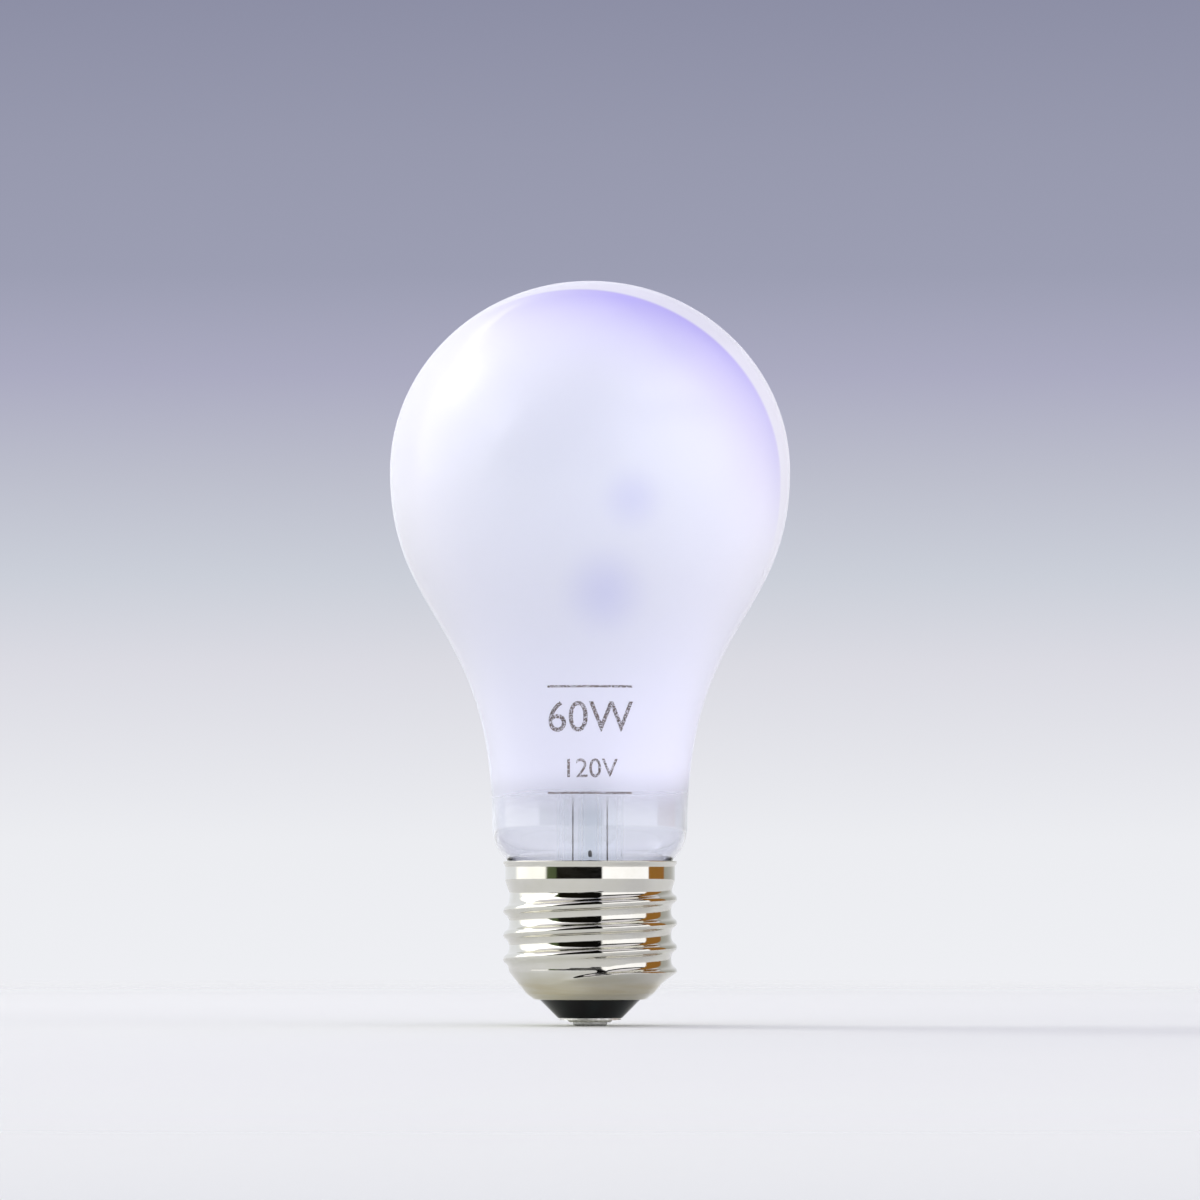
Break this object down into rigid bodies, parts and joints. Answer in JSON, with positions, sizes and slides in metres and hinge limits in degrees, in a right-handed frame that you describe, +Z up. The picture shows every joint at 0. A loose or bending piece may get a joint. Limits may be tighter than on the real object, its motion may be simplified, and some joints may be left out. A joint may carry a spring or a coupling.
{
  "type": "incandescent lamp bulb",
  "caption": "Round frosted lavender glass lamp bulb with a long neck, rolled nickel screw cap and black glass insulator.",
  "frame": {"origin": "lowest point of the solder on the centre contact, on the lamp's axis", "axes": "+Z up the lamp's axis from the contact to the top of the bulb, -Y towards the printed side"},
  "size_m": [0.0602, 0.0602, 0.1121],
  "materials": {
    "frosted_glass": "inside frosted, pale lavender",
    "stem_glass": "clear",
    "nickel_wire": "drawn nickel",
    "copper_wire": "copper clad",
    "support_metal": "drawn molybdenum",
    "tungsten": "dark drawn tungsten",
    "cement": "baked cement",
    "nickel_shell": "bright nickel plate",
    "black_glass": "glossy black glass",
    "contact_metal": "plated brass",
    "solder": "tinned solder"
  },
  "bodies": {
    "root": {"glass_bulb": "frosted_glass", "stem_flare": "stem_glass", "exhaust_tube": "stem_glass", "arbor_rod": "stem_glass", "inner_lead_centre": "nickel_wire", "seal_wire_centre": "copper_wire", "outer_lead_centre": "nickel_wire", "inner_lead_side": "nickel_wire", "seal_wire_side": "copper_wire", "outer_lead_side": "nickel_wire", "support_wire_1": "support_metal", "support_wire_2": "support_metal", "support_wire_3": "support_metal", "filament": "tungsten", "basing_cement": "cement", "screw_shell": "nickel_shell", "insulator": "black_glass", "centre_contact": "contact_metal", "centre_solder": "solder", "side_solder": "solder"}
  },
  "joints": []
}
